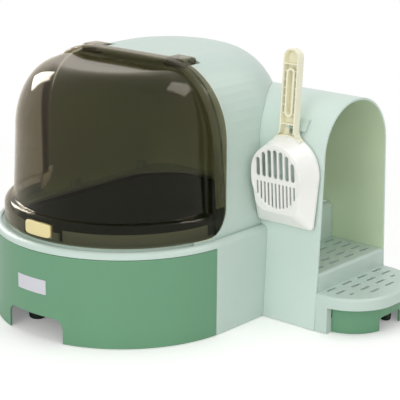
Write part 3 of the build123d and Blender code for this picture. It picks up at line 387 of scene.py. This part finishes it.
@dataclass(frozen=True)
class Studio:
    """Even sky, pale paper floor and soft lamps, in metres."""

    ambient: float = 0.6
    paper: str = "#f6f6f4"
    paper_lift: float = 0.2
    paper_rings: tuple[float, float, float] = (0.3, 0.8, 1.5)
    paper_sides: int = 96
    paper_drop: float = 0.0005
    paper_fade: tuple[float, float] = (0.35, 1.4)

    def world(self) -> None:
        """Even sky: plain light on the object, and pure white wherever it is seen, mirrored or looked at through."""
        world = bpy.data.worlds.new("studio")
        bpy.context.scene.world = world
        world.use_nodes = True
        tree = world.node_tree
        path = add_node(tree, "ShaderNodeLightPath", {})
        through = add_node(
            tree, "ShaderNodeMath", {"operation": "MAXIMUM"},
            in0=path.outputs["Is Camera Ray"], in1=path.outputs["Is Transmission Ray"],
        )
        seen = add_node(
            tree, "ShaderNodeMath", {"operation": "MAXIMUM"},
            in0=through.outputs["Value"], in1=path.outputs["Is Glossy Ray"],
        )
        ambient = add_node(tree, "ShaderNodeBackground", {}, Color=linear(WHITE), Strength=self.ambient)
        white = add_node(tree, "ShaderNodeBackground", {}, Color=linear(WHITE), Strength=1.0)
        mix = add_node(
            tree, "ShaderNodeMixShader", {}, in0=seen.outputs["Value"],
            in1=ambient.outputs["Background"], in2=white.outputs["Background"],
        )
        tree.links.new(mix.outputs["Shader"], tree.nodes["World Output"].inputs["Surface"])

    def paper_finish(self) -> bpy.types.Material:
        """Matt white paper that keeps the object's shadow, a little lifted where it is seen, and gone at its rim.

        Returns:
            The node material, ready to assign.
        """
        material = bpy.data.materials.new("Seamless paper white")
        material.use_nodes = True
        tree = material.node_tree
        tree.nodes.remove(tree.nodes["Principled BSDF"])
        paper = add_node(tree, "ShaderNodeBsdfDiffuse", {}, Color=linear(self.paper))
        path = add_node(tree, "ShaderNodeLightPath", {})
        lift = add_node(
            tree, "ShaderNodeMath", {"operation": "MULTIPLY"}, in0=path.outputs["Is Camera Ray"], in1=self.paper_lift
        )
        shine = add_node(tree, "ShaderNodeEmission", {}, Color=linear(WHITE), Strength=lift.outputs["Value"])
        sheet = add_node(tree, "ShaderNodeAddShader", {}, in0=paper.outputs["BSDF"], in1=shine.outputs["Emission"])
        gone = add_node(tree, "ShaderNodeBsdfTransparent", {}, Color=linear(WHITE))
        place = add_node(tree, "ShaderNodeTexCoord", {})
        reach = add_node(tree, "ShaderNodeVectorMath", {"operation": "LENGTH"}, in0=place.outputs["Object"])
        fade = add_node(
            tree, "ShaderNodeMapRange", {"interpolation_type": "SMOOTHSTEP"}, Value=reach.outputs["Value"],
            From_Min=self.paper_fade[0], From_Max=self.paper_fade[1],
        )
        mix = add_node(
            tree, "ShaderNodeMixShader", {}, in0=fade.outputs["Result"], in1=sheet.outputs["Shader"],
            in2=gone.outputs["BSDF"],
        )
        tree.links.new(mix.outputs["Shader"], tree.nodes["Material Output"].inputs["Surface"])
        return material

    def floor(self) -> None:
        """Round sheet: rings of points at radius times cosine and sine, and one face inside the smallest ring."""
        sides = self.paper_sides
        turns = np.linspace(0.0, 2.0 * np.pi, sides + 1)[:-1]
        rings = np.array(self.paper_rings)[:, None]
        points = np.stack(
            np.broadcast_arrays(rings * np.cos(turns), rings * np.sin(turns), -self.paper_drop), axis=-1
        )
        index = np.arange(sides)
        after = (index + 1) % sides
        quads = [
            sides * ring + np.stack([index, index + sides, after + sides, after], axis=-1)
            for ring in range(len(self.paper_rings) - 1)
        ]
        mesh = bpy.data.meshes.new("floor")
        mesh.from_pydata(points.reshape(-1, 3).tolist(), [], np.concatenate(quads).tolist() + [index.tolist()])
        mesh.materials.append(self.paper_finish())
        floor = bpy.data.objects.new("floor", mesh)
        bpy.context.scene.collection.objects.link(floor)

    def build(self) -> None:
        """Set up the surroundings, the lamps and the plain view."""
        self.world()
        self.floor()
        for lamp in LAMPS:
            lamp.build()
        bpy.context.scene.view_settings.view_transform = "Standard"


def onward(start: float, end: float, steps: int) -> np.ndarray:
    """Evenly spaced values from one step after the start up to the end.

    Args:
        start: Where the steps begin.
        end: The last value.
        steps: How many steps, and so how many values.

    Returns:
        The values.
    """
    return np.linspace(start, end, steps + 1)[1:]


@dataclass(frozen=True)
class Sheet:
    """A lattice of points, in millimetres on the body axis, and which of its faces are left out."""

    points: np.ndarray
    hole: np.ndarray | None = None

    def quads(self) -> np.ndarray:
        """Corner numbers of the lattice's faces, taken along a row first, so that they face outwards.

        Returns:
            One row of four vertex numbers for each face.
        """
        rows, columns = self.points.shape[:2]
        index = np.arange(rows * columns).reshape(rows, columns)
        faces = np.stack([index[:-1, :-1], index[:-1, 1:], index[1:, 1:], index[1:, :-1]], axis=-1)
        keep = np.ones(faces.shape[:2], bool) if self.hole is None else ~self.hole
        return faces[keep]


def weld(name: str, sheets: Sequence[Sheet], materials: Sequence[bpy.types.Material],
         wall_mm: float = 0.0) -> bpy.types.Object:
    """Join sheets into one mesh whose shared edges, seams and poles are closed.

    Points in one place become one point. A face that has two corners there becomes a triangle, and one that keeps
    fewer than three corners goes.

    Args:
        name: Piece name.
        sheets: The lattices, which meet point on point.
        materials: Finish of each sheet.
        wall_mm: Thickness laid on inwards, or nothing for a closed form.

    Returns:
        The new object, at the frame's origin.
    """
    starts = np.cumsum([0] + [sheet.points.shape[0] * sheet.points.shape[1] for sheet in sheets])
    points = np.concatenate([sheet.points.reshape(-1, 3) for sheet in sheets])
    faces = np.concatenate([sheet.quads() + start for sheet, start in zip(sheets, starts)])
    finish = np.concatenate([np.full(len(sheet.quads()), number) for number, sheet in enumerate(sheets)])
    _, first, back = np.unique(np.round(points, WELD_DECIMALS), axis=0, return_index=True, return_inverse=True)
    faces = back.reshape(-1)[faces]
    same = faces == np.roll(faces, -1, axis=1)
    full, pinched = same.sum(axis=1) == 0, same.sum(axis=1) == 1
    corners = faces[pinched][~same[pinched]].reshape(-1, 3)
    mesh = bpy.data.meshes.new(name)
    mesh.from_pydata(((points[first] + AXIS) * MM).tolist(), [], faces[full].tolist() + corners.tolist())
    mesh.polygons.foreach_set("use_smooth", np.ones(len(mesh.polygons), bool))
    for material in materials:
        mesh.materials.append(material)
    mesh.polygons.foreach_set("material_index", np.concatenate([finish[full], finish[pinched]]).astype(np.int32))
    piece = bpy.data.objects.new(name, mesh)
    bpy.context.scene.collection.objects.link(piece)
    if wall_mm:
        solid = piece.modifiers.new("wall", "SOLIDIFY")
        solid.thickness = wall_mm * MM
        solid.offset = -1.0
        solid.use_even_offset = True
    log.info("%s: %d points, %d faces", name, len(first), len(mesh.polygons))
    return piece


@dataclass(frozen=True)
class Tablet:
    """A low moulded tablet: superelliptic outline, upright side and a rounded top edge."""

    half_x: float
    half_y: float
    height: float
    edge: float
    power: float = 6.0
    sides: int = 96
    edge_steps: int = 6

    def points(self) -> np.ndarray:
        """Outline |x/a|^n + |y/b|^n = 1, carried up the side, over a quarter round and in to the middle.

        Returns:
            Points with X, Y and Z last, foot to top by once round.
        """
        turns = np.append(np.linspace(0.0, 2.0 * np.pi, self.sides + 1)[:-1], 0.0)
        cosine, sine = np.cos(turns), np.sin(turns)
        bend = onward(0.0, np.pi / 2, self.edge_steps)
        inset = self.edge * (1.0 - np.cos(bend))
        brow = self.height - self.edge
        half_x = np.concatenate([[0.0, self.half_x, self.half_x], self.half_x - inset, [0.0]])[:, None]
        half_y = np.concatenate([[0.0, self.half_y, self.half_y], self.half_y - inset, [0.0]])[:, None]
        height = np.concatenate([[0.0, 0.0, brow], brow + self.edge * np.sin(bend), [self.height]])[:, None]
        x = half_x * np.sign(cosine) * np.abs(cosine) ** (2.0 / self.power)
        y = half_y * np.sign(sine) * np.abs(sine) ** (2.0 / self.power)
        return np.stack(np.broadcast_arrays(x, y, height), axis=-1)


@dataclass(frozen=True)
class Visor:
    """Smoked visor: half round band, shouldered window with an elliptical crown, and the collar that frames it."""

    band_radius: float = 184.0
    bottom: float = 147.0
    band_top: float = 168.0
    shoulder: float = 181.0
    crease: float = 4.0
    window_radius: float = 171.0
    taper: float = 0.05
    taper_from: float = 150.0
    crown_from: float = 283.0
    crown_top: float = 386.0
    crown_width: float = 67.0
    split: float = -4.0
    wall: float = 2.3
    pocket_angle: float = 8.4
    pocket: tuple[float, float] = (151.0, 174.0)
    # Steps along the profile: foot, band, shoulder below and above the pocket's edge, crease, window, crown, disc.
    profile_steps: tuple[int, int, int, int, int, int, int, int] = (2, 5, 4, 9, 6, 17, 32, 9)
    side_steps: int = 51
    pocket_steps: int = 10
    collar_half: float = 185.5
    collar_top: float = 398.0
    collar_corner: float = 112.0
    # The collar gains its last height over this share of the crown's rise.
    collar_gain: float = 0.25
    collar_round: float = 8.0
    # The most of the flange and of the wall that the rounded edge may take.
    round_share: tuple[float, float] = (0.9, 0.8)
    toe_radius: float = 38.0
    toe: tuple[float, float] = (-18.0, 185.0)
    toe_wall: float = 0.8
    collar_steps: tuple[int, int, int] = (3, 8, 6)
    lug: Tablet = Tablet(half_x=20.0, half_y=18.0, height=12.0, edge=4.5, power=5.0)
    lug_place: tuple[float, float, float] = (86.0, 29.5, 385.0)

    def radius_at(self, height: float | np.ndarray) -> float | np.ndarray:
        """Radius of the window at a height: it leans in by a twentieth of its rise."""
        return self.window_radius - self.taper * (height - self.taper_from)

    @property
    def disc_radius(self) -> float:
        """Radius of the level disc that closes the crown."""
        return self.radius_at(self.crown_from) - self.crown_width

    def profile(self) -> tuple[np.ndarray, np.ndarray]:
        """Half section of band, shoulder, window and crown.

        The band is upright, the shoulder a quarter ellipse up to a small hollow crease, the window leans in
        evenly, the crown is a quarter ellipse, and a level disc closes it. The pocket's edges are levels of it.

        Returns:
            Radii and heights from the band's foot to the middle of the crown.
        """
        foot_n, band_n, low_n, high_n, crease_n, window_n, crown_n, disc_n = self.profile_steps
        low, high = self.pocket
        foot = self.radius_at(self.shoulder)
        across = self.band_radius - foot - self.crease
        rise = self.shoulder - self.band_top
        band = np.concatenate([[self.bottom], onward(self.bottom, low, foot_n), onward(low, self.band_top, band_n)])
        over = np.arcsin((high - self.band_top) / rise)
        turn = np.concatenate([onward(0.0, over, low_n), onward(over, np.pi / 2, high_n)])
        hollow = onward(0.0, np.pi / 2, crease_n)
        upright = onward(self.shoulder + self.crease, self.crown_from, window_n)
        arch = onward(0.0, np.pi / 2, crown_n)
        disc = onward(self.disc_radius, 0.0, disc_n)
        radii = np.concatenate([
            np.full_like(band, self.band_radius),
            self.band_radius - across * (1.0 - np.cos(turn)),
            foot + self.crease * (1.0 - np.sin(hollow)),
            self.radius_at(upright),
            self.disc_radius + self.crown_width * np.cos(arch),
            disc,
        ])
        heights = np.concatenate([
            band,
            self.band_top + rise * np.sin(turn),
            self.shoulder + self.crease * (1.0 - np.cos(hollow)),
            upright,
            self.crown_from + (self.crown_top - self.crown_from) * np.sin(arch),
            np.full_like(disc, self.crown_top),
        ])
        return radii, heights

    def wrap(self, radii: np.ndarray, heights: np.ndarray, turns: np.ndarray) -> np.ndarray:
        """Turn radii and heights round the front.

        X is radius times sine. Y is the split line less radius times cosine, drawn in a little: the half round
        starts on the split line, and the front of the band stays one band radius before the body axis.

        Args:
            radii: Distances from the body axis.
            heights: Heights above the floor.
            turns: Angles from straight ahead, in radians.

        Returns:
            Points with X, Y and Z last.
        """
        drawn = (self.band_radius + self.split) / self.band_radius
        x = radii * np.sin(turns)
        y = self.split - drawn * radii * np.cos(turns)
        return np.stack(np.broadcast_arrays(x, y, heights), axis=-1)

    def window(self) -> Sheet:
        """Band, shoulder, window and crown in one lattice, with the latch's pocket left out.

        Returns:
            The lattice, foot to crown by left to right.
        """
        radii, heights = self.profile()
        pocket = np.radians(self.pocket_angle)
        left = np.linspace(-np.pi / 2, -pocket, self.side_steps + 1)
        turns = np.concatenate([left, onward(-pocket, pocket, self.pocket_steps)[:-1], -left[::-1]])
        level = (heights[:-1] + heights[1:]) / 2.0
        turned = (turns[:-1] + turns[1:]) / 2.0
        hole = ((level > self.pocket[0]) & (level < self.pocket[1]))[:, None] & (np.abs(turned) < pocket)
        return Sheet(self.wrap(radii[:, None], heights[:, None], turns[None, :]), hole)

    def stations(self) -> tuple[np.ndarray, np.ndarray]:
        """Points of the window's edge on the split line, and those of the collar's outline that they join.

        Beside the window the outline keeps its height. Round the crown it is a corner turned by the crown's own
        angle, corner radius times cosine and sine, and over the disc it runs level to the middle.

        Returns:
            X and Z of both, right foot over the top to left foot.
        """
        radii, heights = self.profile()
        straight = self.collar_half - self.collar_corner
        climb = np.clip((heights - self.crown_from) / (self.crown_top - self.crown_from), 0.0, 1.0)
        corner_x = straight + self.collar_corner * np.cos(np.arcsin(climb))
        disc_n = self.profile_steps[-1]
        outer_x = np.append(corner_x[:-disc_n], straight * radii[-disc_n:] / self.disc_radius)
        gain = self.collar_top - self.collar_corner - self.crown_from
        corner_z = self.crown_from + gain * np.clip(climb / self.collar_gain, 0.0, 1.0) + self.collar_corner * climb
        outer_z = np.where(heights > self.crown_from, corner_z, heights)
        right = np.stack([np.stack([radii, heights], axis=-1), np.stack([outer_x, outer_z], axis=-1)])
        left = (right * [-1.0, 1.0])[:, ::-1]
        inner, outer = np.concatenate([right, left[:, 1:]], axis=1)
        return inner, outer

    def collar(self) -> Sheet:
        """Collar round the window: a flat front flange, a rounded edge and a wall back to the hood.

        Each station runs from the window's edge straight out along the flange, over a quarter round and straight
        back. The wall's back edge follows a circle at the toe, and the round shrinks where flange or wall is short.

        Returns:
            The lattice, right foot over the top to left foot by window to hood.
        """
        inner, outer = self.stations()
        flange_n, round_n, wall_n = self.collar_steps
        gap = np.linalg.norm(outer - inner, axis=-1)
        away = (outer - inner) / gap[:, None]
        toe_y, toe_z = self.toe
        low = np.clip(toe_z - outer[:, 1], 0.0, self.toe_radius)
        back = np.maximum(toe_y + np.sqrt(self.toe_radius**2 - low**2), self.split + self.toe_wall)
        of_flange, of_wall = self.round_share
        edge = np.minimum(np.minimum(self.collar_round, of_flange * gap), of_wall * (back - self.split))
        bend = onward(0.0, np.pi / 2, round_n)[:, None]
        flange = np.linspace(0.0, 1.0, flange_n + 1)[:, None] * (gap - edge)
        across = np.concatenate([flange, gap - edge + edge * np.sin(bend), np.tile(gap, (wall_n, 1))])
        start = self.split + edge
        depth = np.concatenate([
            np.full_like(flange, self.split),
            self.split + edge * (1.0 - np.cos(bend)),
            start + (back - start) * onward(0.0, 1.0, wall_n)[:, None],
        ])
        plan = inner + away * across[..., None]
        return Sheet(np.stack([plan[..., 0], depth, plan[..., 1]], axis=-1).transpose(1, 0, 2))

    def lugs(self) -> list[Sheet]:
        """Hinge lugs: two low tablets lying on the hood, one each side of the middle."""
        x, y, z = self.lug_place
        return [Sheet(self.lug.points() + np.array([side * x, y, z])) for side in (1.0, -1.0)]

    def build(self, clear: bpy.types.Material, rim: bpy.types.Material) -> None:
        """Make the visor and let it ride on its hinge.

        Args:
            clear: The smoked plastic of the window and band.
            rim: The same plastic, thicker and darker, of the collar and lugs.
        """
        shell = weld("visor_window_and_collar", [self.window(), self.collar()], [clear, rim], self.wall)
        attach(shell, "visor")
        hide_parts("visor")
        lugs = weld("visor_hinge_lugs", self.lugs(), [rim, rim])
        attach(lugs, "visor")


@dataclass(frozen=True)
class SeatLip:
    """Mint lip of the base behind the visor's band, open where the latch presses in."""

    radius: float = 178.6
    thickness: float = 2.0
    bottom: float = 146.0
    top: float = 165.5
    latch_half_angle: float = 13.0
    end_angle: float = 86.0
    stations: int = 60
    edge_steps: int = 8

    def strip(self, side: float) -> Sheet:
        """One upright strip with a rounded top edge: its closed section turned round the body axis.

        The section runs out along the foot, up the outer face, over a half round and down the inner face. At each
        end of the strip it shrinks to its own middle, which closes the strip.

        Args:
            side: 1 for the right of the latch, -1 for the left.

        Returns:
            The lattice, round the section by left to right.
        """
        half = self.thickness / 2.0
        middle = self.radius - half
        bend = np.linspace(0.0, np.pi, self.edge_steps + 1)
        foot = [self.bottom, self.bottom]
        radii = np.concatenate([[middle, self.radius], middle + half * np.cos(bend), [middle - half, middle]])
        heights = np.concatenate([foot, self.top - half + half * np.sin(bend), foot])
        turns = np.sort(side * np.radians(np.linspace(self.latch_half_angle, self.end_angle, self.stations)))
        turns = np.pad(turns, 1, mode="edge")
        whole = np.pad(np.ones(self.stations), 1)
        centre = (self.bottom + self.top) / 2.0
        radii = middle + (radii - middle)[:, None] * whole
        heights = centre + (heights - centre)[:, None] * whole
        return Sheet(np.stack([radii * np.sin(turns), -radii * np.cos(turns), heights], axis=-1))

    def build(self, material: bpy.types.Material) -> None:
        """Make both strips as one piece of the base.

        Args:
            material: The mint plastic.
        """
        lip = weld("seat_lip", [self.strip(1.0), self.strip(-1.0)], [material, material])
        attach(lip, "shell")


@dataclass(frozen=True)
class Latch:
    """Butter yellow press latch in the visor's band."""

    half_angle: float = 8.0
    middle: float = 162.5
    half_height: float = 10.4
    back: float = 180.6
    proud: float = 6.4
    edge: float = 1.8

    def build(self, visor: Visor, material: bpy.types.Material) -> None:
        """Lay a tablet round the band, its height standing out along the radius.

        Args:
            visor: The visor whose band carries the latch.
            material: The yellow plastic.
        """
        half_width = visor.band_radius * math.radians(self.half_angle)
        flat = Tablet(half_width, self.half_height, self.proud, self.edge).points()
        wrapped = visor.wrap(self.back + flat[..., 2], self.middle + flat[..., 1], flat[..., 0] / visor.band_radius)
        pad = weld("latch_pad", [Sheet(wrapped)], [material])
        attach(pad, "latch")
        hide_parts("visor_latch")


def dress_frame(frame: dict[str, Any], built: dict[str, bpy.types.Material]) -> None:
    """Give every CAD node its own finish, or the finish of its material slot.

    Args:
        built: The finishes by node or slot.
    """
    for entry in frame["record"]["subparts"]:
        node = frame["nodes"][entry["node"]]
        finish = entry["node"] if entry["node"] in built else entry["material_slot"]
        node.data.materials.clear()
        node.data.materials.append(built[finish])
        log.info("dressed %s as %s", entry["node"], finish)


def main() -> None:
    """Build the scene piece by piece."""
    logging.basicConfig(level=logging.INFO)
    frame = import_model()
    Camera().build()
    Studio().build()
    built = {name: finish.build() for name, finish in (FINISHES | NODE_FINISHES).items()}
    dress_frame(frame, built)
    visor = Visor()
    visor.build(built["smoked_visor"], VISOR_RIM.build())
    Latch().build(visor, built["yellow_latch"])
    SeatLip().build(built["mint_shell"])


if __name__ == "__main__":
    main()
